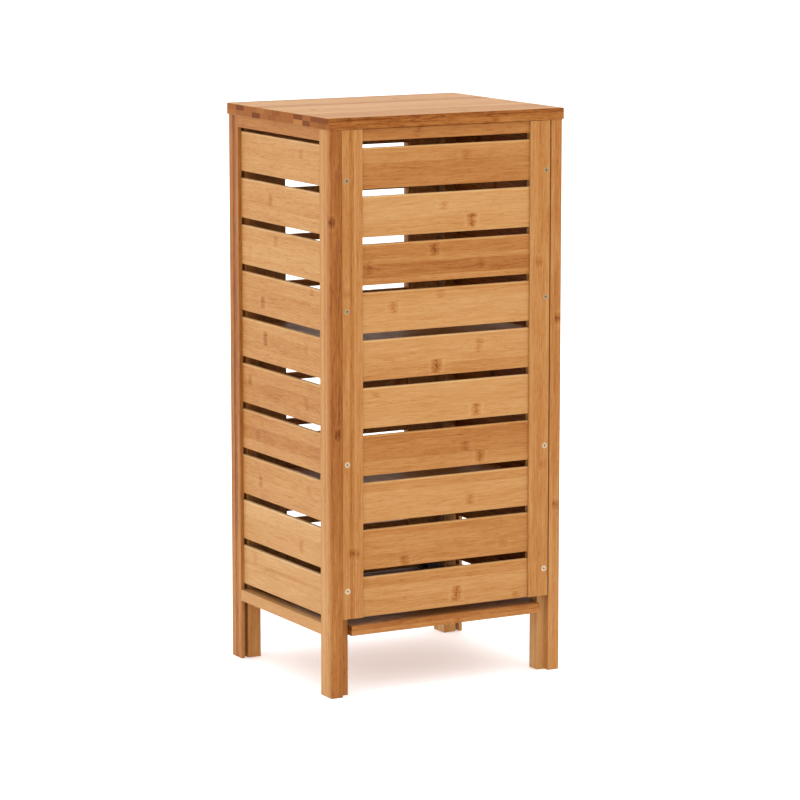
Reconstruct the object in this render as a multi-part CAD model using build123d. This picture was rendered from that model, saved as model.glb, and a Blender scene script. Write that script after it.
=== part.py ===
from build123d import *
from math import sqrt
import os

# Slatted bamboo cabinet on four legs, with a framed door of narrow lamellae.
# Millimetres. +Z up, door at -Y, screwed back panel at +Y, right-hand side at +X.
# Everything is drawn about the middle of the leg frame. write_parts() then slides it along Y, so that
# the origin is the middle of the whole bounding box, knob included, at floor level.

# ---------------------------------------------------------------- driving dimensions

overall_height = 800.0
frame_width = 367.0            # outside of legs, along X
frame_depth = 305.0            # outside of legs, along Y
top_thickness = 16.0
top_overhang_x = 2.0
top_overhang_y = 1.5

leg_width = 31.0               # along X
leg_depth = 30.0               # along Y
foot_chamfer = 0.6
top_corner_radius = 2.0
top_edge_radius = 1.2
top_lower_chamfer = 0.6
tongue_slack = 0.5             # at the end of a tongue or tenon in its groove
shelf_pin_from_front = 23.0    # from the legs' front faces
shelf_pin_from_back = 22.0     # from the legs' rear faces
leg_arris = 2.0                # rounding of the outer corner
small_arris = 0.8

side_lip = 5.0                 # leg wood outside the side slats
side_slat_thickness = 6.0
side_groove_depth = 9.0
side_rail_height = 16.5
side_rail_width = 20.0
bottom_rail_low = 85.2

slat_height = 56.0
slat_arris = 1.0
slat_count = 10
side_slat_pitch = 66.1
side_first_slat_top = 761.6
back_slat_pitch = 65.8
back_first_slat_top = 757.6

rebate_width = 13.0            # in the back legs, along X
rebate_depth = 10.0
back_panel_width = 329.0
back_panel_shift = 0.55        # the panel sits a little off centre in its rebate
back_panel_low = 109.5
back_stile_width = 32.0
back_slat_thickness = 5.0
back_slat_recess = 3.0         # behind the stiles' outer face
back_groove_depth = 9.0
back_rail_low = 766.9

board_thickness = 14.0
board_low = 85.0
board_setback = 0.5
shelf_thickness = 12.0
upper_shelf_top = 486.0
lower_shelf_top = 272.5
shelf_clearance = 0.7
shelf_front_gap = 1.5          # between a shelf's front edge and the door
shelf_back_gap = 0.5

door_gap_side = 2.0
door_gap_end = 2.0
door_thickness = 15.0
door_stile_width = 50.0
door_rail_height = 50.0
door_bottom_rail_height = 52.0
door_middle_rail_low = 246.0
lamella_height = 10.5
lamella_thickness = 8.0
lamella_tenon = 6.0
upper_lamella_count = 19
lower_lamella_count = 4
door_arris = 1.2
door_dowel_inset = 14.0        # from a rail's edges
lamella_edge_radius = 2.0

knob_height = 500.0
knob_radius = 14.0
knob_length = 24.0
knob_foot_radius = 8.0
knob_neck_radius = 6.5
knob_rim_radius = 12.0         # where the rim meets the domed end
knob_dome_rise = 4.0

hinge_height = 50.0
hinge_leaf_thickness = 0.8
hinge_leaf_width = 13.0
hinge_barrel_radius = 2.5
hinge_pin_radius = 1.3
hinge_running_clearance = 0.05
hinge_axis_offset = 2.8        # in front of the door face
hinge_knuckle_count = 5
hinge_knuckle_gap = 0.3
hinge_centres = (160.0, 723.0)
hinge_screw_spacing = 30.0

catch_centre_x = -133.0
catch_width = 32.0
catch_depth = 13.0
catch_height = 13.0
strike_width = 28.0
strike_height = 10.0
strike_thickness = 1.2
magnet_gap = 0.3

dowel_radius = 3.0
dowel_length = 28.0
dowel_slack = 0.3              # extra depth at the blind end of a dowel or screw hole
fit = 0.05                     # radial slack of dowels and screws in wood
loose = 0.1                    # slack of tongues in grooves

shelf_pin_radius = 2.5
shelf_pin_in = 8.0
shelf_pin_out = 9.0

back_screw_heights = (714.3, 536.5, 325.3, 148.6)
back_screw_x = 157.6
top_screw_y = 75.0
board_dowel_y = 70.0

# ---------------------------------------------------------------- derived positions

half_width = frame_width / 2
half_depth = frame_depth / 2
leg_top = overall_height - top_thickness
leg_inner_x = half_width - leg_width
leg_inner_y = half_depth - leg_depth
slat_outer_x = half_width - side_lip
slat_inner_x = slat_outer_x - side_slat_thickness
rail_inner_x = half_width - side_rail_width
rail_dowel_x = half_width - 15.5
top_rail_low = leg_top - side_rail_height
panel_inner_y = half_depth - rebate_depth
board_top = board_low + board_thickness
door_back_y = -half_depth + door_thickness
door_half = leg_inner_x - door_gap_side
door_window_half = door_half - door_stile_width
door_low = board_top + door_gap_end
door_high = leg_top - door_gap_end
hinge_axis_x = leg_inner_x - door_gap_side / 2
hinge_axis_y = -half_depth - hinge_axis_offset
origin_shift_y = (knob_length - top_overhang_y) / 2


# ---------------------------------------------------------------- small helpers

def block(x, y, z):
    """A box from three (low, high) ranges."""
    size = [high - low for low, high in (x, y, z)]
    centre = [(high + low) / 2 for low, high in (x, y, z)]
    return Pos(*centre) * Box(*size)


def eased(shape, axis, radius):
    """Round the edges that run along one axis."""
    return fillet(shape.edges().filter_by(axis), radius)


def rod_along(direction, start, length, radius):
    """A cylinder from a start point along X, Y or Z."""
    plane = Plane(origin=start, z_dir=direction)
    return extrude(plane * Circle(radius), amount=length)


def mirrored(shape):
    return mirror(shape, about=Plane.YZ)


def group(shapes):
    """Separate solids kept in one node."""
    solids = [solid for shape in shapes for solid in shape.solids()]
    return Compound(children=solids)


# ---------------------------------------------------------------- fasteners

def countersunk_screw(head_radius, shank_radius, length, recess=True):
    """Head face at z = 0, pointing down, with a cross recess."""
    cone = head_radius - shank_radius
    rim = 0.25
    profile = Polyline(
        (0, 0), (head_radius, 0), (head_radius, -rim), (shank_radius, -rim - cone),
        (shank_radius, -length + 2 * shank_radius), (0, -length), close=True)
    body = revolve(Plane.XZ * make_face(profile), axis=Axis.Z)
    if recess:
        slot = head_radius * 1.15
        for turn in (0, 90):
            body -= Rot(0, 0, turn) * block((-slot / 2, slot / 2), (-0.35, 0.35), (-rim - cone * 0.6, 1))
    return body


def screw_hole(head_radius, shank_radius, length):
    """The room that a countersunk screw takes, with slack all round."""
    return countersunk_screw(head_radius + fit, shank_radius + fit, length + dowel_slack, recess=False)


def pan_screw(head_radius, head_height, shank_radius, length):
    """Seat of the head at z = 0, shank pointing down."""
    body = Cylinder(head_radius, head_height, align=(Align.CENTER, Align.CENTER, Align.MIN))
    body = fillet(body.edges().group_by(Axis.Z)[-1], head_height * 0.5)
    body += Cylinder(shank_radius, length, align=(Align.CENTER, Align.CENTER, Align.MAX))
    slot = head_radius * 1.1
    for turn in (0, 90):
        body -= Rot(0, 0, turn) * block((-slot / 2, slot / 2), (-0.4, 0.4), (head_height * 0.4, head_height + 1))
    return body


def facing(direction, point, shape):
    """Put a screw so that its head faces a direction, with z = 0 at a point."""
    return Plane(origin=point, z_dir=direction).location * shape


# Countersunk screws: head radius, shank radius, length. Pan heads: radius, height; shanks: radius, length.
back_screw_size = (4.1, 2.0, 24.0)
hinge_screw_size = (2.4, 1.2, 13.0)
catch_screw_size = (2.6, 1.4, 11.0)
strike_screw_size = (2.6, 1.4, 10.0)
top_screw_head = (3.6, 2.2)
top_screw_shank = (2.0, 24.0)
knob_screw_head = (4.2, 2.0)
knob_screw_shank = (2.0, 25.0)
knob_screw_clearance = 0.15


def back_screw_places():
    return [(side * back_screw_x, half_depth, z) for side in (1, -1) for z in back_screw_heights]


def hinge_screw_places():
    y = -half_depth + hinge_leaf_width / 2 + 0.5
    return [(y, z + half * hinge_screw_spacing / 2) for z in hinge_centres for half in (-1, 1)]


def top_screw_places():
    return [(side * rail_dowel_x, end * top_screw_y) for side in (1, -1) for end in (1, -1)]


def shelf_pin_places():
    """Axis start points on the legs' inner faces, as (side, y, z)."""
    ends = (-half_depth + shelf_pin_from_front, half_depth - shelf_pin_from_back)
    heights = [top - shelf_thickness - shelf_pin_radius for top in (upper_shelf_top, lower_shelf_top)]
    return [(side, y, z) for side in (1, -1) for y in ends for z in heights]


# ---------------------------------------------------------------- legs and side frames

def leg_holes(end):
    """Dowel and shelf pin holes of one right-hand leg; end is -1 for front, 1 for back."""
    face_y = end * leg_inner_y
    depth = dowel_length / 2 + dowel_slack
    holes = []
    for z in (top_rail_low + side_rail_height / 2, bottom_rail_low + side_rail_height / 2):
        holes.append(rod_along((0, end, 0), (rail_dowel_x, face_y, z), depth, dowel_radius + fit))
    for side, y, z in shelf_pin_places():
        if side == 1 and y * end > 0:
            start = (leg_inner_x, y, z)
            holes.append(rod_along((1, 0, 0), start, shelf_pin_in + dowel_slack, shelf_pin_radius + fit))
    return holes


def right_leg(end):
    """Right-hand leg; the groove for the side slats runs its whole length."""
    y_range = sorted((end * leg_inner_y, end * half_depth))
    leg = block((leg_inner_x, half_width), y_range, (0, leg_top))
    outer = leg.edges().filter_by(Axis.Z).sort_by(lambda edge: -edge.center().X - end * edge.center().Y)[0]
    leg = fillet(outer, leg_arris)
    groove_y = sorted((end * (leg_inner_y - 1), end * (leg_inner_y + side_groove_depth)))
    leg -= block((slat_inner_x - loose, slat_outer_x + loose), groove_y, (-1, leg_top + 1))
    if end == 1:
        rebate_x = (leg_inner_x - 1, leg_inner_x + rebate_width)
        leg -= block(rebate_x, (panel_inner_y, half_depth + 1), (-1, leg_top + 1))
    foot = leg.faces().sort_by(Axis.Z)[0]
    leg = chamfer(foot.outer_wire().edges(), foot_chamfer)
    for hole in leg_holes(end):
        leg -= hole
    return leg


def make_legs():
    front_right = right_leg(-1)
    back_right = right_leg(1)
    back_left = mirrored(back_right)
    front_left = mirrored(front_right)
    for y, z in hinge_screw_places():
        front_right -= facing((-1, 0, 0), (leg_inner_x - hinge_leaf_thickness, y, z), screw_hole(*hinge_screw_size))
    for place in back_screw_places():
        hole = facing((0, 1, 0), place, screw_hole(*back_screw_size))
        if place[0] > 0:
            back_right -= hole
        else:
            back_left -= hole
    return {"leg_front_right": front_right, "leg_front_left": front_left,
            "leg_back_right": back_right, "leg_back_left": back_left}


def rail_dowel_parts(z):
    """Dowels at both ends of a right-hand rail, and the holes for them in the rail."""
    dowels = []
    holes = []
    for end in (-1, 1):
        start = (rail_dowel_x, end * (leg_inner_y - dowel_length / 2), z)
        dowels.append(rod_along((0, end, 0), start, dowel_length, dowel_radius))
        deep = (rail_dowel_x, end * (leg_inner_y - dowel_length / 2 - dowel_slack), z)
        holes.append(rod_along((0, end, 0), deep, dowel_length, dowel_radius + fit))
    return dowels, holes


def board_dowel_parts():
    """Dowels between the right-hand bottom rail and the bottom board."""
    dowels = []
    holes = []
    for end in (-1, 1):
        middle = (rail_inner_x, end * board_dowel_y, board_low + board_thickness / 2)
        start = Pos(-dowel_length / 2, 0, 0) * Vertex(*middle)
        dowels.append(rod_along((1, 0, 0), start.center(), dowel_length, dowel_radius))
        deep = Pos(-dowel_slack, 0, 0) * start
        holes.append(rod_along((1, 0, 0), deep.center(), dowel_length + 2 * dowel_slack, dowel_radius + fit))
    return dowels, holes


def make_side_frames():
    parts = {}
    dowels = []
    span = (-leg_inner_y, leg_inner_y)
    for name, low in (("top_rail", top_rail_low), ("bottom_rail", bottom_rail_low)):
        rail = eased(block((rail_inner_x, half_width), span, (low, low + side_rail_height)), Axis.Y, small_arris)
        pegs, holes = rail_dowel_parts(low + side_rail_height / 2)
        if name == "bottom_rail":
            board_pegs, board_holes = board_dowel_parts()
            pegs = pegs + board_pegs
            holes = holes + board_holes
        for hole in holes:
            rail -= hole
        if name == "top_rail":
            for x, y in top_screw_places():
                if x > 0:
                    rail -= top_screw_hole(x, y)
        parts["right_" + name] = rail
        parts["left_" + name] = mirrored(rail)
        dowels += pegs + [mirrored(peg) for peg in pegs]
    parts["frame_dowels"] = group(dowels)
    return parts


def make_side_slats():
    parts = {}
    left = []
    reach = leg_inner_y + side_groove_depth - tongue_slack
    for index in range(slat_count):
        top = side_first_slat_top - index * side_slat_pitch
        slat = block((slat_inner_x, slat_outer_x), (-reach, reach), (top - slat_height, top))
        slat = eased(slat, Axis.Y, slat_arris)
        parts["right_slat_%02d" % (index + 1)] = slat
        left.append(mirrored(slat))
    parts["left_slats"] = group(left)
    return parts


# ---------------------------------------------------------------- top, bottom board and shelves

def top_screw_hole(x, y):
    """Counterbore and shank hole that open downwards in a top rail, on into the top."""
    radius, height = top_screw_head
    shank, length = top_screw_shank
    hole = rod_along((0, 0, 1), (x, y, top_rail_low - 1), height + 1.2, radius + fit)
    hole += rod_along((0, 0, 1), (x, y, top_rail_low), height + length + dowel_slack, shank + fit)
    return hole


def make_top():
    half_x = half_width + top_overhang_x
    half_y = half_depth + top_overhang_y
    top = block((-half_x, half_x), (-half_y, half_y), (leg_top, overall_height))
    top = eased(top, Axis.Z, top_corner_radius)
    top = fillet(top.faces().sort_by(Axis.Z)[-1].outer_wire().edges(), top_edge_radius)
    top = chamfer(top.faces().sort_by(Axis.Z)[0].outer_wire().edges(), top_lower_chamfer)
    screws = []
    radius, height = top_screw_head
    shank, length = top_screw_shank
    for x, y in top_screw_places():
        top -= top_screw_hole(x, y)
        seat = (x, y, top_rail_low + height + 0.2)
        screws.append(facing((0, 0, -1), seat, pan_screw(radius, height, shank, length)))
    return {"top_panel": top, "top_screws": group(screws)}


def make_bottom_board():
    between_legs = leg_inner_x - 1.3
    between_rails = rail_inner_x - 0.2
    reach_y = half_depth - board_setback
    clear_y = leg_inner_y - 0.2
    z = (board_low, board_top)
    board = block((-between_legs, between_legs), (-reach_y, reach_y), z)
    board += block((-between_rails, between_rails), (-clear_y, clear_y), z)
    board = eased(board, Axis.X, small_arris)
    for hole in board_dowel_parts()[1]:
        board -= hole
        board -= mirrored(hole)
    for x, y in catch_screw_places():
        board -= facing((0, 0, 1), (x, y, board_top + catch_lug_height), screw_hole(*catch_screw_size))
    return {"bottom_board": board}


def shelf(top):
    """A board that is notched round the legs and reaches the side slats."""
    low = top - shelf_thickness
    front = door_back_y + shelf_front_gap
    back = panel_inner_y - shelf_back_gap
    narrow = leg_inner_x - shelf_clearance
    wide = slat_inner_x - shelf_clearance
    clear_y = leg_inner_y - shelf_clearance
    board = block((-narrow, narrow), (front, back), (low, top))
    board += block((-wide, wide), (-clear_y, clear_y), (low, top))
    return eased(board, Axis.X, small_arris)


def make_shelves():
    pins = []
    for side, y, z in shelf_pin_places():
        start = (side * (leg_inner_x - shelf_pin_out), y, z)
        pin = rod_along((side, 0, 0), start, shelf_pin_in + shelf_pin_out, shelf_pin_radius)
        pins.append(chamfer(pin.edges().filter_by(GeomType.CIRCLE), 0.5))
    return {"upper_shelf": shelf(upper_shelf_top), "lower_shelf": shelf(lower_shelf_top),
            "shelf_pins": group(pins)}


# ---------------------------------------------------------------- back panel

def make_back_panel():
    parts = {}
    middle = back_panel_shift
    half = back_panel_width / 2
    window = half - back_stile_width
    slat_outer_y = half_depth - back_slat_recess
    slat_inner_y = slat_outer_y - back_slat_thickness
    panel_high = leg_top - 0.5
    for name, side in (("right", 1), ("left", -1)):
        x = sorted((middle + side * window, middle + side * half))
        stile = block(x, (panel_inner_y, half_depth), (back_panel_low, panel_high))
        stile = eased(stile, Axis.Z, small_arris)
        groove_x = sorted((middle + side * (window - 1), middle + side * (window + back_groove_depth)))
        groove_y = (slat_inner_y - loose, slat_outer_y + loose)
        stile -= block(groove_x, groove_y, (back_panel_low - 1, panel_high + 1))
        for place in back_screw_places():
            if place[0] * side > 0:
                stile -= facing((0, 1, 0), place, screw_hole(*back_screw_size))
        parts["back_stile_" + name] = stile
    reach = window + back_groove_depth - tongue_slack
    span = (middle - reach, middle + reach)
    rail = block(span, (slat_inner_y, slat_outer_y), (back_rail_low, panel_high))
    parts["back_top_rail"] = eased(rail, Axis.X, slat_arris)
    for index in range(slat_count):
        top = back_first_slat_top - index * back_slat_pitch
        slat = block(span, (slat_inner_y, slat_outer_y), (top - slat_height, top))
        parts["back_slat_%02d" % (index + 1)] = eased(slat, Axis.X, slat_arris)
    screws = [facing((0, 1, 0), place, countersunk_screw(*back_screw_size)) for place in back_screw_places()]
    parts["back_screws"] = group(screws)
    return parts


# ---------------------------------------------------------------- door

def lamella_rows(low, high, count):
    """Lower edges of evenly spaced lamellae in a window."""
    gap = (high - low - count * lamella_height) / (count + 1)
    return [low + gap + index * (lamella_height + gap) for index in range(count)]


def door_rail_spans():
    return {"door_bottom_rail": (door_low, door_low + door_bottom_rail_height),
            "door_middle_rail": (door_middle_rail_low, door_middle_rail_low + door_rail_height),
            "door_top_rail": (door_high - door_rail_height, door_high)}


def door_dowels_and_holes():
    """Two dowels at each end of each rail, right-hand side."""
    dowels = []
    holes = []
    y = -half_depth + door_thickness / 2
    for low, high in door_rail_spans().values():
        for z in (low + door_dowel_inset, high - door_dowel_inset):
            start = (door_window_half - dowel_length / 2, y, z)
            dowels.append(rod_along((1, 0, 0), start, dowel_length, dowel_radius))
            deep = (start[0] - dowel_slack, y, z)
            holes.append(rod_along((1, 0, 0), deep, dowel_length + 2 * dowel_slack, dowel_radius + fit))
    return dowels, holes


def lamellae(low, high, count, half_length, slack=0.0):
    """A stack of lamellae; with slack, the room that they take."""
    middle_y = -half_depth + door_thickness / 2
    half_t = lamella_thickness / 2 + slack
    bars = []
    for z in lamella_rows(low, high, count):
        bar = block((-half_length, half_length), (middle_y - half_t, middle_y + half_t),
                    (z - slack, z + lamella_height + slack))
        bars.append(bar if slack else eased(bar, Axis.X, lamella_edge_radius))
    return bars


def make_door():
    rails = door_rail_spans()
    y = (-half_depth, door_back_y)
    parts = {}
    dowels, holes = door_dowels_and_holes()
    all_holes = holes + [mirrored(hole) for hole in holes]
    for name, span in rails.items():
        rail = eased(block((-door_window_half, door_window_half), y, span), Axis.X, door_arris)
        for hole in all_holes:
            rail -= hole
        parts[name] = rail
    windows = {"door_upper_lamellae": (rails["door_middle_rail"][1], rails["door_top_rail"][0], upper_lamella_count),
               "door_lower_lamellae": (rails["door_bottom_rail"][1], rails["door_middle_rail"][0], lower_lamella_count)}
    mortises = []
    for name, window in windows.items():
        parts[name] = group(lamellae(*window, door_window_half + lamella_tenon))
        mortises += lamellae(*window, door_window_half + lamella_tenon + tongue_slack, slack=fit)
    stile = eased(block((door_window_half, door_half), y, (door_low, door_high)), Axis.Z, door_arris)
    stile -= mortises + holes
    hinge_stile = stile
    for sy, sz in hinge_screw_places():
        hinge_stile -= facing((1, 0, 0), (door_half + hinge_leaf_thickness, sy, sz), screw_hole(*hinge_screw_size))
    knob_stile = mirrored(stile)
    knob_stile -= rod_along((0, -1, 0), (knob_x, door_back_y + 1, knob_height), door_thickness + 2,
                           knob_screw_shank[0] + knob_screw_clearance)
    strike_face = (catch_centre_x, door_back_y + strike_thickness, strike_middle_z)
    knob_stile -= facing((0, 1, 0), strike_face, screw_hole(*strike_screw_size))
    parts["door_hinge_stile"] = hinge_stile
    parts["door_knob_stile"] = knob_stile
    parts["door_dowels"] = group(dowels + [mirrored(dowel) for dowel in dowels])
    return parts


knob_x = -(door_half - door_stile_width / 2)


def make_knob():
    """Turned knob, screwed from the inside of the stile."""
    foot = (knob_foot_radius, 2.0)
    cup = (knob_rim_radius - 1.0, knob_length / 2)
    rim_top = (knob_rim_radius, knob_length - knob_dome_rise)
    dome_radius = (knob_rim_radius ** 2 + knob_dome_rise ** 2) / (2 * knob_dome_rise)
    dome_x = knob_rim_radius / 2
    dome_y = knob_length - dome_radius + sqrt(dome_radius ** 2 - dome_x ** 2)
    outline = Polyline((0, 0), (knob_foot_radius, 0), foot)
    waist = ThreePointArc(foot, (knob_neck_radius, knob_length / 4), cup)
    rim = ThreePointArc(cup, (knob_radius, knob_length * 2 / 3), rim_top)
    crown = ThreePointArc(rim_top, (dome_x, dome_y), (0, knob_length))
    axis_line = Line((0, knob_length), (0, 0))
    face = make_face([outline, waist, rim, crown, axis_line])
    turned = revolve(Plane.XZ * face, axis=Axis.Z)
    knob = facing((0, -1, 0), (knob_x, -half_depth, knob_height), turned)
    shank, length = knob_screw_shank
    depth = length - door_thickness + dowel_slack
    knob -= rod_along((0, -1, 0), (knob_x, -half_depth + 1, knob_height), depth + 1, shank + fit)
    seat = (knob_x, door_back_y, knob_height)
    screw = facing((0, 1, 0), seat, pan_screw(*knob_screw_head, shank, length))
    return {"door_knob": knob, "knob_screw": screw}


# ---------------------------------------------------------------- hinges

def hinge_leaf(centre_z, side):
    """One leaf with its share of the knuckles. side 1 is screwed to the leg, -1 to the door."""
    low = centre_z - hinge_height / 2
    step = hinge_height / hinge_knuckle_count
    plate_x = sorted((hinge_axis_x + side * (door_gap_side / 2 - hinge_leaf_thickness),
                      hinge_axis_x + side * door_gap_side / 2))
    inner_y = -half_depth + 0.2
    plate = block(plate_x, (inner_y, inner_y + hinge_leaf_width), (low, low + hinge_height))
    first = 0 if side == 1 else 1
    for index in range(first, hinge_knuckle_count, 2):
        z = (low + index * step + hinge_knuckle_gap / 2, low + (index + 1) * step - hinge_knuckle_gap / 2)
        plate += block(plate_x, (hinge_axis_y, inner_y), z)
        plate += rod_along((0, 0, 1), (hinge_axis_x, hinge_axis_y, z[0]), z[1] - z[0], hinge_barrel_radius)
    bore = hinge_pin_radius + hinge_running_clearance
    plate -= rod_along((0, 0, 1), (hinge_axis_x, hinge_axis_y, low - 1), hinge_height + 2, bore)
    face_x = hinge_axis_x + side * (door_gap_side / 2 - hinge_leaf_thickness)
    for y, z in hinge_screw_places():
        if abs(z - centre_z) < hinge_height:
            plate -= facing((-side, 0, 0), (face_x, y, z), screw_hole(*hinge_screw_size))
    return plate


def hinge_pin(centre_z):
    """Pin with a small head at both ends."""
    low = centre_z - hinge_height / 2 - 0.2
    length = hinge_height + 0.4
    pin = rod_along((0, 0, 1), (hinge_axis_x, hinge_axis_y, low), length, hinge_pin_radius)
    for start in (low - 1.0, low + length):
        cap = rod_along((0, 0, 1), (hinge_axis_x, hinge_axis_y, start), 1.0, hinge_barrel_radius - 0.4)
        pin += cap
    return pin


def make_hinges():
    leg_face = leg_inner_x - hinge_leaf_thickness
    door_face = door_half + hinge_leaf_thickness
    places = hinge_screw_places()
    into_leg = [facing((-1, 0, 0), (leg_face, y, z), countersunk_screw(*hinge_screw_size)) for y, z in places]
    into_door = [facing((1, 0, 0), (door_face, y, z), countersunk_screw(*hinge_screw_size)) for y, z in places]
    return {"hinge_frame_leaves": group([hinge_leaf(z, 1) for z in hinge_centres]),
            "hinge_door_leaves": group([hinge_leaf(z, -1) for z in hinge_centres]),
            "hinge_pins": group([hinge_pin(z) for z in hinge_centres]),
            "hinge_frame_screws": group(into_leg),
            "hinge_door_screws": group(into_door)}


# ---------------------------------------------------------------- magnetic catch

strike_middle_z = board_top + 8.0
catch_front_y = door_back_y + strike_thickness + magnet_gap + 0.6
catch_lug_height = 3.0
catch_box_half = 9.0


def catch_screw_places():
    y = catch_front_y + catch_depth / 2
    return [(catch_centre_x + side * (catch_width / 2 - 3.4), y) for side in (-1, 1)]


def make_catch():
    x = catch_centre_x
    y = (catch_front_y, catch_front_y + catch_depth)
    body = block((x - catch_box_half, x + catch_box_half), y, (board_top, board_top + catch_height))
    body = eased(body, Axis.Y, 1.0)
    body += block((x - catch_width / 2, x + catch_width / 2), y, (board_top, board_top + catch_lug_height))
    pocket_half = 6.0
    pocket_z = (strike_middle_z - 3.6, strike_middle_z + 3.6)
    pocket_y = (catch_front_y - 1, catch_front_y + 9.0)
    body -= block((x - pocket_half - loose, x + pocket_half + loose), pocket_y, pocket_z)
    screws = []
    for sx, sy in catch_screw_places():
        spot = (sx, sy, board_top + catch_lug_height)
        body -= facing((0, 0, 1), spot, screw_hole(*catch_screw_size))
        screws.append(facing((0, 0, 1), spot, countersunk_screw(*catch_screw_size)))
    face_y = catch_front_y - 0.6
    plates = []
    for z in (strike_middle_z - 3.5, strike_middle_z + 2.1):
        plates.append(block((x - pocket_half, x + pocket_half), (face_y, catch_front_y + 8.5), (z, z + 1.4)))
    magnet = block((x - pocket_half, x + pocket_half), (catch_front_y + 0.3, catch_front_y + 8.5),
                   (strike_middle_z - 2.1, strike_middle_z + 2.1))
    strike_y = (door_back_y, door_back_y + strike_thickness)
    strike_z = (strike_middle_z - strike_height / 2, strike_middle_z + strike_height / 2)
    strike = block((x - strike_width / 2, x + strike_width / 2), strike_y, strike_z)
    strike = eased(strike, Axis.Y, 2.0)
    face = (x, door_back_y + strike_thickness, strike_middle_z)
    strike -= facing((0, 1, 0), face, screw_hole(*strike_screw_size))
    strike_screw = facing((0, 1, 0), face, countersunk_screw(*strike_screw_size))
    return {"catch_body": body, "catch_magnet": group(plates + [magnet]), "catch_screws": group(screws),
            "strike_plate": strike, "strike_screw": strike_screw}


# ---------------------------------------------------------------- write the parts

def slid(shape):
    """The shape moved from the leg frame's middle to the final origin, solid by solid."""
    solids = [Pos(0, origin_shift_y, 0) * solid for solid in shape.solids()]
    return solids[0] if len(solids) == 1 else group(solids)


def write_parts():
    os.makedirs("parts", exist_ok=True)
    makers = (make_legs, make_side_frames, make_side_slats, make_top, make_bottom_board, make_shelves,
              make_back_panel, make_door, make_knob, make_hinges, make_catch)
    for maker in makers:
        for name, shape in maker().items():
            export_step(slid(shape), "parts/%s.step" % name)


write_parts()
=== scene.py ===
import math
import bpy
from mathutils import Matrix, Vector


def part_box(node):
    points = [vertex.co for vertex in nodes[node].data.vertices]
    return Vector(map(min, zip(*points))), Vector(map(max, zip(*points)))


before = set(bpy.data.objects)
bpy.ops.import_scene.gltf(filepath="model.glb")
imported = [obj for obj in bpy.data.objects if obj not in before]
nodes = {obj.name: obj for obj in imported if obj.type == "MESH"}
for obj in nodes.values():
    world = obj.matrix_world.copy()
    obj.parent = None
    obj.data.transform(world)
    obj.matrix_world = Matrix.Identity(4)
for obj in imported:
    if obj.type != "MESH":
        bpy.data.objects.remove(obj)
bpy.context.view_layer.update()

MM = 1000.0                     # millimetres in a metre: places on the wood are in mm, light and camera in m
AXES = {"x": 0, "y": 1, "z": 2}
HAIR = 0.01                     # mm by which a strip that covers a whole piece is wider than it

# Lacquered carbonised bamboo as (level, sRGB), from the darkest knuckle to the palest strip.
PALETTE = ((0.00, (96, 44, 14)), (0.15, (140, 76, 30)), (0.30, (172, 105, 50)), (0.45, (192, 129, 70)),
           (0.60, (207, 150, 92)), (0.80, (221, 172, 116)), (1.00, (236, 196, 148)))
WOOD_ALBEDO = (0.66, 0.65, 0.61)    # share of the palette's linear colour that the wood reflects
WOOD_ROUGHNESS = (0.39, 0.50)       # where the middle grain is low and where it is high
WOOD_BUMP = 0.00012                 # metres
LAYER_STAGGER = 0.43                # of a strip, from one layer to the next
GLUE_LINE = 0.35                    # mm on either side of a joint between strips

# Levels by which the grain swings, and by which dashes, glue lines and knuckles darken the wood.
BROAD_SWING = 0.24
MIDDLE_SWING = 0.36
FINE_SWING = 0.62
DASH_DEPTH = 0.12
GLUE_DEPTH = 0.08
BAND_DEPTH = (0.05, 0.17)           # plain, and what the mottle adds
RING_DEPTH = (0.04, 0.14)
RIM_LIFT = 0.05

# Knuckles: distances in mm from the middle, and along the grain from one chance knuckle to the next.
KNUCKLE_WOBBLE = 10.0
BAND_EDGE = (2.6, 9.5)
RING_EDGE = (0.4, 3.4)
RIM_EDGES = (7.5, 9.5, 10.5, 14.0)
KNUCKLE_SPACING = 230.0

DRIVE_DARK = (58, 34, 16)
DULL_ZINC = (206, 172, 128)
DULL_HEIGHTS = (0.25, 0.56)         # metres; the back screws turn dull between these heights
PLASTIC_BUMP = 0.00005              # metres


def linear(rgb, share=(1.0, 1.0, 1.0)):
    """An sRGB colour of 0 to 255 as linear RGBA of 0 to 1, with a share of each channel."""
    out = []
    for value, kept in zip(rgb, share):
        c = value / 255.0
        out.append(kept * (c / 12.92 if c <= 0.04045 else ((c + 0.055) / 1.055) ** 2.4))
    return out + [1.0]


# ---------------------------------------------------------------- node helpers

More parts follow.
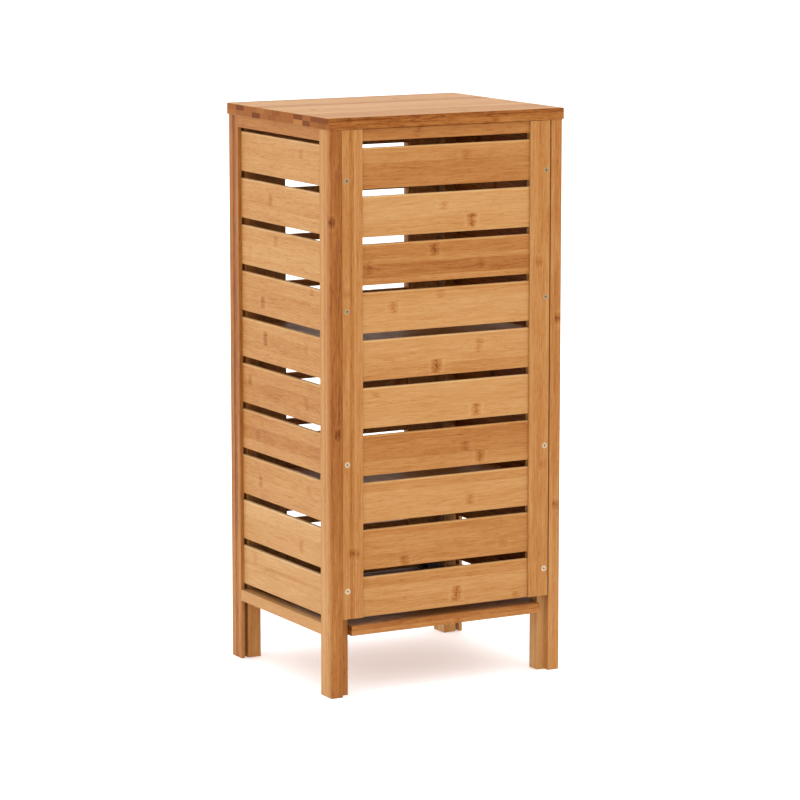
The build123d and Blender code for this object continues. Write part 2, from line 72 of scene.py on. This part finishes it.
class Tree:
    """A material and short names for the nodes in it."""

    def __init__(self, name):
        self.material = bpy.data.materials.new(name)
        self.material.use_nodes = True
        self.tree = self.material.node_tree
        self.tree.nodes.clear()

    def node(self, kind, **settings):
        made = self.tree.nodes.new(kind)
        for key, value in settings.items():
            setattr(made, key, value)
        return made

    def feed(self, socket, value):
        if isinstance(value, bpy.types.NodeSocket):
            self.tree.links.new(value, socket)
        else:
            socket.default_value = value

    def math(self, operation, *values):
        made = self.node("ShaderNodeMath", operation=operation)
        for index, value in enumerate(values):
            self.feed(made.inputs[index], value)
        return made.outputs[0]

    def add(self, a, b):
        return self.math("ADD", a, b)

    def sub(self, a, b):
        return self.math("SUBTRACT", a, b)

    def mul(self, a, b):
        return self.math("MULTIPLY", a, b)

    def swing(self, value, amount):
        """A value of 0 to 1 as a swing about nothing, amount wide."""
        return self.mul(self.sub(value, 0.5), amount)

    def rise(self, value, low, high, to_low=0.0, to_high=1.0, smooth=True):
        """Map low..high to to_low..to_high, held at both ends."""
        made = self.node("ShaderNodeMapRange", interpolation_type="SMOOTHSTEP" if smooth else "LINEAR")
        for index, item in enumerate((value, low, high, to_low, to_high)):
            self.feed(made.inputs[index], item)
        return made.outputs[0]

    def fall(self, value, low, high):
        return self.rise(value, low, high, 1.0, 0.0)

    def near(self, value, middle, half):
        """1 at the middle and 0 from half away on."""
        return self.fall(self.math("ABSOLUTE", self.sub(value, middle)), half * 0.7, half)

    def vector(self, x, y, z):
        made = self.node("ShaderNodeCombineXYZ")
        for index, item in enumerate((x, y, z)):
            self.feed(made.inputs[index], item)
        return made.outputs[0]

    def axes(self, kind):
        """The X, Y and Z of a texture coordinate: Object in metres, or Normal."""
        split = self.node("ShaderNodeSeparateXYZ")
        self.feed(split.inputs[0], self.node("ShaderNodeTexCoord").outputs[kind])
        return split.outputs

    def stretched(self, scale, offset=(0.0, 0.0, 0.0)):
        """The object coordinate, stretched and moved."""
        mapping = self.node("ShaderNodeMapping")
        self.feed(mapping.inputs[0], self.node("ShaderNodeTexCoord").outputs["Object"])
        mapping.inputs["Scale"].default_value = scale
        mapping.inputs["Location"].default_value = offset
        return mapping.outputs[0]

    def noise(self, where, detail=2.0, roughness=0.5):
        made = self.node("ShaderNodeTexNoise", noise_dimensions="3D")
        self.feed(made.inputs["Vector"], where)
        made.inputs["Scale"].default_value = 1.0
        made.inputs["Detail"].default_value = detail
        made.inputs["Roughness"].default_value = roughness
        return made.outputs["Fac"]

    def random(self, where):
        made = self.node("ShaderNodeTexWhiteNoise", noise_dimensions="3D")
        self.feed(made.inputs["Vector"], where)
        return made.outputs["Value"]

    def mix(self, factor, a, b):
        made = self.node("ShaderNodeMix", data_type="RGBA")
        self.feed(made.inputs[0], factor)
        self.feed(made.inputs[6], a)
        self.feed(made.inputs[7], b)
        return made.outputs[2]

    def ramp(self, value, stops, interpolation="LINEAR"):
        """Colours at places from 0 to 1, in order, as (place, RGBA); there are two stops at least."""
        made = self.node("ShaderNodeValToRGB")
        made.color_ramp.interpolation = interpolation
        self.feed(made.inputs[0], value)
        elements = made.color_ramp.elements
        while len(elements) < len(stops):
            elements.new(0.5)
        for element, (place, colour) in zip(elements, stops):
            element.position = place
            element.color = colour
        return made.outputs[0]

    def stepped(self, value, steps):
        """A value that jumps at each (start, level) pair; start runs from 0 to 1."""
        return self.ramp(value, [(start, (level, level, level, 1.0)) for start, level in steps], "CONSTANT")

    def bump(self, height, strength, distance):
        made = self.node("ShaderNodeBump")
        made.inputs["Strength"].default_value = strength
        made.inputs["Distance"].default_value = distance
        self.feed(made.inputs["Height"], height)
        return made.outputs[0]

    def finish(self, **inputs):
        """Close the material with one shader; the keywords are its sockets, with _ for a space."""
        shader = self.node("ShaderNodeBsdfPrincipled")
        for key, value in inputs.items():
            self.feed(shader.inputs[key.replace("_", " ")], value)
        out = self.node("ShaderNodeOutputMaterial")
        self.tree.links.new(shader.outputs[0], out.inputs[0])
        return self.material


# ---------------------------------------------------------------- bamboo

class Bamboo(Tree):
    """Laminated bamboo: u runs along the grain, v across the strips and w through the layers, in mm."""

    def __init__(self, name, along, across, seed, low, high):
        super().__init__(name)
        through = ({"x", "y", "z"} - {along, across}).pop()
        self.along, self.across, self.through = AXES[along], AXES[across], AXES[through]
        self.seed = seed
        self.breadth = high[self.across] - low[self.across]
        self.depth = high[self.through] - low[self.through]
        place = self.axes("Object")
        self.normal = self.axes("Normal")
        self.u = self.mul(place[self.along], MM)
        self.v = self.sub(self.mul(place[self.across], MM), low[self.across])
        self.w = self.sub(self.mul(place[self.through], MM), low[self.through])

    def facing(self, axis, low, high):
        """1 on the faces that look along an axis, either way."""
        return self.rise(self.math("ABSOLUTE", self.normal[axis]), low, high)

    def lay_strips(self, strip, layer):
        """Number the strips and layers and draw a chance value for each."""
        self.strip = strip or self.breadth + HAIR
        self.layer_index = self.math("FLOOR", self.math("DIVIDE", self.w, layer)) if layer else 0.0
        place = self.math("DIVIDE", self.v, self.strip)
        if layer:
            place = self.add(place, self.mul(self.layer_index, LAYER_STAGGER))
        self.strip_index = self.math("FLOOR", place)
        self.strip_part = self.math("FRACT", place)
        self.chance = self.random(self.vector(self.strip_index, self.layer_index, self.seed * 1.7))

    def lay_grain(self, own):
        """Streaks at three widths and short dark dashes, a little aslant and a little wavy."""
        u, v, w, shift = self.u, self.v, self.w, self.add(self.mul(own, 57.0), self.seed * 3.1)
        wave = self.vector(self.mul(u, 0.012), self.mul(v, 0.03), self.add(self.mul(w, 0.03), shift))
        waver = self.noise(wave, detail=1.0)
        bent = self.add(v, self.mul(waver, 6.0))
        bent = self.add(bent, self.mul(self.swing(own, 0.035), u))

        def streaks(along, across, through, detail, roughness=0.5):
            """Noise with this many waves a millimetre on each axis."""
            where = self.vector(self.add(self.mul(u, along), shift), self.mul(bent, across),
                                self.mul(w, through))
            return self.noise(where, detail, roughness)

        self.broad = streaks(0.007, 0.06, 0.10, detail=1.0)
        self.middle = streaks(0.016, 0.30, 0.30, detail=2.0, roughness=0.6)
        self.fine = streaks(0.040, 0.85, 0.85, detail=3.0, roughness=0.7)
        self.dashes = self.rise(streaks(0.09, 0.62, 0.62, detail=1.0), 0.58, 0.70)
        self.wobble = self.noise(self.vector(self.mul(u, 0.04), self.mul(v, 0.22), self.add(w, shift)))
        mottle = self.noise(self.vector(self.mul(u, 0.55), self.mul(v, 0.40), self.add(w, shift)))
        self.mottle = self.rise(mottle, 0.30, 0.65)

    def streaked(self, tone, streak):
        for grain, swing in ((self.broad, BROAD_SWING), (self.middle, MIDDLE_SWING), (self.fine, FINE_SWING)):
            tone = self.add(tone, self.swing(grain, swing * streak))
        return self.sub(tone, self.mul(self.dashes, DASH_DEPTH * streak))

    def glue_lines(self):
        """Thin dark lines between the strips."""
        edge = self.math("ABSOLUTE", self.sub(self.strip_part, 0.5))
        return self.mul(self.rise(edge, 0.5 - GLUE_LINE / self.strip, 0.5), GLUE_DEPTH)

    def knuckle(self, off):
        """A dark mottled band with a darker ring line and a paler rim; off is the distance to its middle."""
        off = self.math("ABSOLUTE", self.add(off, self.swing(self.wobble, KNUCKLE_WOBBLE)))

        def mottled(edge, depth):
            return self.mul(self.fall(off, *edge), self.add(self.mul(self.mottle, depth[1]), depth[0]))

        rim = self.mul(self.rise(off, *RIM_EDGES[:2]), self.fall(off, *RIM_EDGES[2:]))
        dark = self.add(mottled(BAND_EDGE, BAND_DEPTH), mottled(RING_EDGE, RING_DEPTH))
        return self.sub(dark, self.mul(rim, RIM_LIFT))

    def chance_knuckles(self):
        """Knuckles that fall by chance, at most one a strip in each spacing."""
        place = self.add(self.math("DIVIDE", self.u, KNUCKLE_SPACING), self.mul(self.chance, 7.3))
        cell = self.vector(self.strip_index, self.math("FLOOR", place),
                           self.add(self.layer_index, self.seed * 2.3))
        luck = self.random(cell)
        centre = self.rise(luck, 0.0, 1.0, 0.15, 0.85, smooth=False)
        off = self.mul(self.sub(self.math("FRACT", place), centre), KNUCKLE_SPACING)
        keep = self.rise(self.random(self.vector(luck, self.strip_index, self.seed * 0.37)), 0.35, 0.60)
        return self.mul(self.knuckle(off), keep)

    def placed_knuckle(self, place, across, half, strength, deep=None, half_deep=None):
        """A knuckle at a place along the grain, within half of across and, where given, half_deep of deep."""
        inside = self.near(self.v, across, half)
        if deep is not None:
            inside = self.mul(inside, self.near(self.w, deep, half_deep))
        return self.mul(self.mul(self.knuckle(self.sub(self.u, place)), inside), strength * 1.15)

    def end_grain(self, end_steps, end_level, layer):
        """The tone of the cut ends, dotted with fibre bundles."""
        dots = self.node("ShaderNodeTexVoronoi", feature="F1")
        self.feed(dots.inputs["Vector"], self.vector(self.v, self.w, self.seed))
        dots.inputs["Scale"].default_value = 1.1
        speck = self.fall(dots.outputs["Distance"], 0.12, 0.42)
        if end_steps:
            lower, upper = [self.stepped(self.math("DIVIDE", self.v, self.breadth), row) for row in end_steps]
            tone = self.add(lower, self.mul(self.sub(upper, lower), self.math("GREATER_THAN", self.w, layer)))
        else:
            tone = self.add(self.swing(self.chance, 0.30), end_level)
        tone = self.add(tone, self.swing(self.fine, 0.12))
        return self.sub(tone, self.mul(speck, 0.07))

    def colour(self, tone):
        return self.ramp(tone, [(place, linear(rgb, WOOD_ALBEDO)) for place, rgb in PALETTE])


def bamboo(name, along, across, seed, low=(0.0, 0.0, 0.0), high=(0.0, 0.0, 0.0), strip=None, layer=0.0,
           level=0.5, spread=0.10, steps=None, side_steps=None, end_steps=None, end_level=0.18, marks=(),
           knuckles=0.6, streak=0.75, worn=0.0, foot=0.0, inner=0.0, gloss=0.08):
    """Laminated bamboo.

    along and across name the axes of the grain and of the strips; low and high are the piece's corners in mm.
    Without strip, one strip covers the piece. The strips' tones fall by chance within spread of level, or
    steps gives the tones over one strip, as (start, level). side_steps does so over the faces that
    look across the strips, and end_steps over the cut ends, one row for each of two layers. marks are
    knuckles given as the arguments of placed_knuckle. worn paints a highlight on the upper
    faces and upper edges, foot paints light on the low end, and inner paints
    shade on the faces that look to the positive side of the axis through the layers.
    """
    t = Bamboo(name, along, across, seed, low, high)
    t.lay_strips(strip, layer)
    if steps:
        tone = t.stepped(t.strip_part, steps)
        own = t.random(t.vector(t.mul(tone, 9.7), seed, 0.5))
    else:
        tone = t.add(t.swing(t.chance, spread * 2.0), level)
        own = t.chance
    if side_steps:
        side = t.stepped(t.math("DIVIDE", t.w, t.depth), side_steps)
        tone = t.add(tone, t.mul(t.sub(side, tone), t.facing(t.across, 0.35, 0.75)))
    t.lay_grain(own)
    tone = t.streaked(tone, streak)
    if not steps:
        tone = t.sub(tone, t.glue_lines())
    if knuckles:
        tone = t.sub(tone, t.mul(t.chance_knuckles(), knuckles))
    for mark in marks:
        tone = t.sub(tone, t.placed_knuckle(*mark))
    # Painted light: lighter towards the low end, most below 60 mm and fading out at 400 mm.
    if foot:
        tone = t.add(tone, t.rise(t.u, 60.0, 400.0, foot, 0.0))
    # Painted highlight: lighter on upward faces and along the upper edge of each strip.
    if worn:
        upward = t.rise(t.normal["Z"], 0.20, 0.55)
        rim = t.rise(t.strip_part, 0.945, 0.975)
        tone = t.add(tone, t.mul(t.math("MAXIMUM", upward, rim), worn))
    # Painted shade: darker on the faces that look to the positive side of the axis through the layers, into
    # the cabinet.
    if inner:
        tone = t.sub(tone, t.rise(t.normal[t.through], 0.3, 0.8, 0.0, inner))
    end = t.end_grain(end_steps, end_level, layer)
    colour = t.mix(t.facing(t.along, 0.80, 0.93), t.colour(tone), t.colour(end))
    roughness = t.rise(t.middle, 0.3, 0.7, *WOOD_ROUGHNESS, smooth=False)
    height = t.sub(t.add(t.mul(t.fine, 0.6), t.mul(t.middle, 0.5)), t.mul(t.dashes, 0.35))
    return t.finish(Base_Color=colour, Roughness=roughness, Normal=t.bump(height, 0.35, WOOD_BUMP),
                    Specular_IOR_Level=gloss)


# ---------------------------------------------------------------- metal and plastic

def metal(name, rgb, roughness, seed=0.0, recess=None):
    """Plated steel with faint brushing.

    With recess, the head's plane in y in millimetres, the drive is darker and the higher heads are duller.
    """
    t = Tree(name)
    grain = t.noise(t.stretched((900.0, 900.0, 260.0), (seed, seed * 2.0, 0.0)), detail=3.0)
    colour = t.mix(grain, linear(rgb, (0.82, 0.82, 0.82)), linear(rgb))
    if recess:
        place = t.axes("Object")
        dull = t.rise(place["Z"], *DULL_HEIGHTS, smooth=False)
        colour = t.mix(dull, colour, linear(DULL_ZINC, (0.52, 0.52, 0.52)))
        depth = t.sub(recess, t.mul(place["Y"], MM))
        # Darker in the drive, from 0.25 mm below the head's plane.
        colour = t.mix(t.rise(depth, 0.25, 0.55), colour, linear(DRIVE_DARK))
    rough = t.rise(grain, 0.3, 0.7, roughness, roughness + 0.06, smooth=False)
    return t.finish(Base_Color=colour, Roughness=rough, Metallic=1.0)


def plastic(name, rgb, roughness):
    """Moulded plastic with a fine grain."""
    t = Tree(name)
    grain = t.noise(t.stretched((1500.0, 1500.0, 1500.0)))
    colour = t.mix(grain, linear(rgb, (0.85, 0.85, 0.85)), linear(rgb))
    rough = t.rise(grain, 0.3, 0.7, roughness, roughness + 0.1, smooth=False)
    return t.finish(Base_Color=colour, Roughness=rough, Normal=t.bump(grain, 0.3, PLASTIC_BUMP))


def paint(node, material):
    """Give a node one material on all of its faces."""
    mesh = nodes[node].data
    mesh.materials.clear()
    mesh.materials.append(material)


def box_mm(node):
    low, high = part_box(node)
    return [c * MM for c in low], [c * MM for c in high]


def wood(node, along, across, seed, name=None, lead=0.0, **look):
    """Paint a node as bamboo. Strips and layers start at its lower corner, the strips lead mm before it."""
    low, high = box_mm(node)
    low[AXES[across]] -= lead
    paint(node, bamboo(name or "bamboo_" + node, along, across, seed, low, high, **look))


# ---------------------------------------------------------------- slats

# Strips of each slat from its lower edge up, as (start, level), and the knuckles that stand out on it,
# as (along mm, above the lower edge mm, half height mm, strength).
BACK_STRIPS = (
    ((0.0, 0.42), (0.62, 0.52)),
    ((0.0, 0.62), (0.42, 0.66)),
    ((0.0, 0.50), (0.16, 0.34), (0.50, 0.50), (0.62, 0.44)),
    ((0.0, 0.64), (0.70, 0.60), (0.90, 0.50)),
    ((0.0, 0.52), (0.30, 0.60), (0.66, 0.62)),
    ((0.0, 0.62), (0.50, 0.64)),
    ((0.0, 0.52), (0.34, 0.42), (0.80, 0.38)),
    ((0.0, 0.60), (0.55, 0.64), (0.75, 0.52)),
    ((0.0, 0.48), (0.36, 0.52), (0.82, 0.46)),
    ((0.0, 0.56), (0.40, 0.60), (0.72, 0.50)))
BACK_MARKS = (
    ((-30, 40, 8, 0.3),),
    ((-40, 15, 11, 1.0), (5, 37, 7, 0.5)),
    ((20, 43, 10, 0.7), (122, 24, 12, 0.4), (-54, 20, 8, 0.3)),
    ((84, 33, 10, 0.6), (10, 47, 7, 0.4)),
    ((-52, 37, 11, 0.5), (16, 13, 11, 1.0)),
    ((-47, 13, 10, 0.9), (112, 46, 5, 0.4)),
    ((-29, 29, 8, 0.4), (-54, 12, 9, 0.8)),
    ((-39, 18, 9, 0.5),),
    ((67, 7, 8, 0.7), (-92, 17, 8, 0.3)),
    ((-16, 18, 12, 0.9), (-113, 6, 5, 0.5)))
SIDE_STRIPS = (
    ((0.0, 0.64), (0.60, 0.63), (0.80, 0.66)),
    ((0.0, 0.65), (0.34, 0.62), (0.70, 0.67)),
    ((0.0, 0.67), (0.22, 0.72), (0.60, 0.64)),
    ((0.0, 0.60), (0.30, 0.57), (0.62, 0.62), (0.80, 0.59)),
    ((0.0, 0.60), (0.30, 0.56), (0.70, 0.62)),
    ((0.0, 0.54), (0.30, 0.51), (0.64, 0.58)),
    ((0.0, 0.60), (0.28, 0.47), (0.62, 0.57)),
    ((0.0, 0.64), (0.50, 0.61)),
    ((0.0, 0.67), (0.30, 0.68), (0.62, 0.76)),
    ((0.0, 0.74), (0.40, 0.72), (0.56, 0.62), (0.66, 0.73)))
SIDE_MARKS = (
    ((71, 39, 9, 0.4),),
    ((-22, 33, 10, 0.5),),
    ((-7, 43, 9, 0.4), (-86, 20, 10, 0.3)),
    ((-47, 18, 10, 0.8), (100, 50, 6, 0.5)),
    ((-40, 34, 12, 0.8), (84, 36, 8, 0.3)),
    ((-88, 35, 9, 0.5), (84, 24, 9, 0.3)),
    ((-65, 24, 10, 0.3),),
    ((-57, 25, 9, 0.6), (90, 36, 8, 0.3)),
    ((67, 19, 11, 0.5),),
    ((-74, 41, 9, 0.4),))

slat_height = box_mm("right_slat_01")[1][2] - box_mm("right_slat_01")[0][2]
# The slats of both panels get a painted highlight on their upper faces and upper edges.
for index, (strips, marks) in enumerate(zip(BACK_STRIPS, BACK_MARKS)):
    wood("back_slat_%02d" % (index + 1), "x", "z", seed=3.0 + index, strip=slat_height, steps=strips,
         marks=marks, knuckles=0.0, worn=0.20)
for index, (strips, marks) in enumerate(zip(SIDE_STRIPS, SIDE_MARKS)):
    wood("right_slat_%02d" % (index + 1), "y", "z", seed=23.0 + index, strip=slat_height, steps=strips,
         marks=marks, knuckles=0.0, worn=0.20, streak=0.95)

# A hair under a third of the slats' pitch, so that a strip starts just under each slat.
LEFT_STRIP = 22.033
# The left slats get painted shade on their inner faces.
wood("left_slats", "y", "z", seed=41.0, strip=LEFT_STRIP, level=0.56, spread=0.10, gloss=0.03, inner=0.25)

# ---------------------------------------------------------------- top

top_low, top_high = box_mm("top_panel")
top_depth = top_high[1] - top_low[1]
top_thickness = top_high[2] - top_low[2]


def blocks(rest, *spans):
    """Steps over the depth of the top: the resting level, but for spans of (from mm, to mm, level) in y."""
    steps = [(0.0, rest)]
    for start, end, level in spans:
        steps += [((start - top_low[1]) / top_depth, level), ((end - top_low[1]) / top_depth, rest)]
    return steps


# Two layers of blocks side by side, seen as rows of end grain on the right side: the lower, then the upper.
END_ROWS = (blocks(0.27, (-140, -116, 0.33), (-64, -40, 0.08), (-16, 8, 0.22), (61, 88, 0.42),
                   (88, 109, 0.12), (132, 156, 0.22)),
            blocks(0.26, (-113, -89, 0.10), (-50, -26, 0.33), (-2, 22, 0.20), (61, 88, 0.11),
                   (112, 170, 0.13)))
wood("top_panel", "x", "y", seed=51.0, name="bamboo_top", strip=24.0, layer=top_thickness / 2.0, level=0.58,
     spread=0.13, gloss=0.04, side_steps=((0.0, 0.30), (0.66, 0.22)), end_steps=END_ROWS,
     marks=((-58, 56, 8, 1.0), (-53, 228, 9, 0.9), (136, 170, 8, 1.0)), knuckles=0.35, streak=1.0)

# ---------------------------------------------------------------- legs, rails, stiles and boards

# Legs: strips over the rear and front faces from the left, strips over the side faces from the front, marks.
LEGS = {
    "leg_back_right": (((0.0, 0.28), (0.30, 0.26), (0.62, 0.29), (0.90, 0.25)),
                       ((0.0, 0.52), (0.08, 0.59), (0.18, 0.64), (0.34, 0.56), (0.42, 0.51), (0.58, 0.59),
                        (0.67, 0.44), (0.86, 0.34)),
                       ((659, 29, 6, 0.75, 30, 8), (368, 20, 5, 0.6, 30, 5))),
    "leg_front_right": (((0.0, 0.44), (0.30, 0.40), (0.60, 0.48), (0.85, 0.36)),
                        ((0.0, 0.36), (0.26, 0.37), (0.40, 0.17), (0.58, 0.26), (0.75, 0.38), (0.90, 0.32)),
                        ((430, 10, 5, 0.5), (150, 22, 5, 0.5))),
    "leg_back_left": (((0.0, 0.46), (0.20, 0.42), (0.40, 0.47), (0.60, 0.50)),
                      ((0.0, 0.70), (0.45, 0.54), (0.70, 0.44)),
                      ((505, 6, 6, 0.7, 30, 5), (239, 7, 6, 0.6, 30, 5))),
    "leg_front_left": (((0.0, 0.44), (0.35, 0.52), (0.70, 0.46)),
                       ((0.0, 0.50), (0.40, 0.74), (0.75, 0.80)),
                       ((610, 18, 6, 0.6), (300, 8, 5, 0.5)))}
# The legs get painted light towards their feet.
for index, (node, (steps, side_steps, marks)) in enumerate(LEGS.items()):
    wood(node, "z", "x", seed=60.0 + index, steps=steps, side_steps=side_steps, marks=marks, knuckles=0.0,
         foot=0.11)

RAIL_LEVELS = {"right_top_rail": 0.41, "right_bottom_rail": 0.66,
               "left_top_rail": 0.50, "left_bottom_rail": 0.56}
for index, (node, level) in enumerate(RAIL_LEVELS.items()):
    wood(node, "y", "z", seed=70.0 + index, strip=17.0, level=level, spread=0.02)

# Stiles of the back panel: strips from the left, marks.
STILES = {
    "back_stile_right": (((0.0, 0.49), (0.33, 0.55), (0.42, 0.44), (0.52, 0.37), (0.64, 0.48)),
                         ((200, 14, 9, 0.6), (560, 24, 7, 0.35))),
    "back_stile_left": (((0.0, 0.50), (0.24, 0.48), (0.60, 0.50), (0.82, 0.52)),
                        ((587, 18, 7, 0.4), (300, 10, 7, 0.3)))}
for index, (node, (steps, marks)) in enumerate(STILES.items()):
    wood(node, "z", "x", seed=80.0 + index, steps=steps, marks=marks, knuckles=0.0)
# The back top rail is darker over its upper part: partly its own tone, partly painted shadow under the top's
# overhang.
wood("back_top_rail", "x", "z", seed=84.0, strip=34.0, steps=((0.0, 0.40), (0.45, 0.34)),
     marks=((-60, 22, 8, 0.5), (45, 14, 7, 0.4)), knuckles=0.0)

BOARD_LEVELS = {"bottom_board": 0.39, "upper_shelf": 0.66, "lower_shelf": 0.52}
for index, (node, level) in enumerate(BOARD_LEVELS.items()):
    wood(node, "x", "y", seed=90.0 + index, strip=22.0, layer=7.0, level=level, spread=0.08)

# ---------------------------------------------------------------- door and dowels

DOOR_STRIP = 16.7       # about a third of the width of a stile or rail
for index, node in enumerate(("door_hinge_stile", "door_knob_stile")):
    wood(node, "z", "x", seed=100.0 + index, strip=DOOR_STRIP, level=0.54)
for index, node in enumerate(("door_top_rail", "door_middle_rail", "door_bottom_rail")):
    wood(node, "x", "z", seed=104.0 + index, strip=DOOR_STRIP, level=0.54)

LAMELLA_STRIP = 21.5    # about the pitch of the lamellae
LAMELLA_LEAD = 5.0      # about half of the gap between two lamellae
for index, node in enumerate(("door_upper_lamellae", "door_lower_lamellae")):
    wood(node, "x", "z", seed=108.0 + index, lead=LAMELLA_LEAD, strip=LAMELLA_STRIP, level=0.56, spread=0.14)
wood("door_knob", "y", "x", seed=112.0, name="bamboo_knob", strip=9.0, layer=9.0, level=0.60, knuckles=0.0,
     end_level=0.50, gloss=0.2)
for index, node in enumerate(("frame_dowels", "door_dowels")):
    paint(node, bamboo("dowel_wood_%d" % index, "x", "z", seed=114.0 + index, strip=40.0, level=0.78,
                       spread=0.03, knuckles=0.0, end_level=0.6))

# ---------------------------------------------------------------- fittings

# Material, colour, roughness, seed of the brushing, and the nodes that it covers.
METALS = (
    ("zinc_plate", (196, 184, 164), 0.36, 0.0, ("top_screws", "knob_screw", "catch_screws", "strike_screw")),
    ("pin_zinc", (206, 204, 198), 0.26, 2.0, ("shelf_pins",)),
    ("hinge_screw_steel", (205, 200, 188), 0.30, 3.0, ("hinge_frame_screws", "hinge_door_screws")),
    ("hinge_steel", (152, 147, 138), 0.34, 4.0, ("hinge_frame_leaves", "hinge_door_leaves")),
    ("hinge_pin_steel", (140, 137, 130), 0.30, 5.0, ("hinge_pins",)),
    ("strike_steel", (200, 198, 194), 0.34, 6.0, ("strike_plate",)),
    ("pole_steel", (150, 150, 150), 0.36, 7.0, ("catch_magnet",)))
for name, rgb, roughness, seed, covered in METALS:
    steel = metal(name, rgb, roughness, seed)
    for node in covered:
        paint(node, steel)
back_screw_heads = box_mm("back_screws")[1][1]
paint("back_screws", metal("back_screw_zinc", (200, 180, 152), 0.40, recess=back_screw_heads))
paint("catch_body", plastic("catch_plastic", (58, 42, 32), 0.45))

# ---------------------------------------------------------------- floor and light

bpy.ops.mesh.primitive_circle_add(vertices=96, radius=9.0, fill_type="NGON", location=(0, 0, 0))
floor = bpy.context.object
floor.name = "floor"
pale_floor = Tree("pale_floor")
pale = pale_floor.mix(pale_floor.noise(pale_floor.stretched((1.3, 1.3, 1.3))),
                      (0.92, 0.92, 0.92, 1.0), (0.94, 0.94, 0.94, 1.0))
floor.data.materials.append(pale_floor.finish(Base_Color=pale, Roughness=0.7, Specular_IOR_Level=0.1,
                                              Emission_Color=(1.0, 1.0, 1.0, 1.0), Emission_Strength=0.30))

world = bpy.data.worlds.new("studio")
bpy.context.scene.world = world
world.use_nodes = True
background = world.node_tree.nodes["Background"]
background.inputs["Color"].default_value = (1.0, 1.0, 1.0, 1.0)
background.inputs["Strength"].default_value = 1.43


def softbox(name, place, target, size, energy):
    """A square area light that looks at its target; metres and watts."""
    light = bpy.data.lights.new(name, "AREA")
    light.shape = "SQUARE"
    light.size = size
    light.energy = energy
    made = bpy.data.objects.new(name, light)
    bpy.context.scene.collection.objects.link(made)
    made.location = place
    aim = Vector(target) - Vector(place)
    made.rotation_euler = aim.to_track_quat("-Z", "Y").to_euler()


softbox("key", place=(3.2, 1.6, 2.6), target=(0, 0, 0.4), size=2.2, energy=8.0)
softbox("top", place=(0.2, 0.4, 3.2), target=(0, 0, 0.6), size=3.0, energy=10.0)

bpy.context.scene.view_settings.view_transform = "Standard"

# ---------------------------------------------------------------- camera

CAMERA_PLACE = (2.4572, 4.4349, 1.2147)
CAMERA_YAW = math.radians(29.145)       # of the view, from -Y towards -X
CAMERA_PITCH = math.radians(9.120)      # downwards

camera_data = bpy.data.cameras.new("camera")
camera_data.lens = 162.46
camera_data.shift_y = -0.01875
camera_data.sensor_width = 36.0
camera_data.clip_end = 50.0
camera = bpy.data.objects.new("camera", camera_data)
bpy.context.scene.collection.objects.link(camera)
bpy.context.scene.camera = camera
look = Vector((-math.sin(CAMERA_YAW) * math.cos(CAMERA_PITCH), -math.cos(CAMERA_YAW) * math.cos(CAMERA_PITCH),
               -math.sin(CAMERA_PITCH)))
camera.location = CAMERA_PLACE
camera.rotation_euler = look.to_track_quat("-Z", "Y").to_euler()
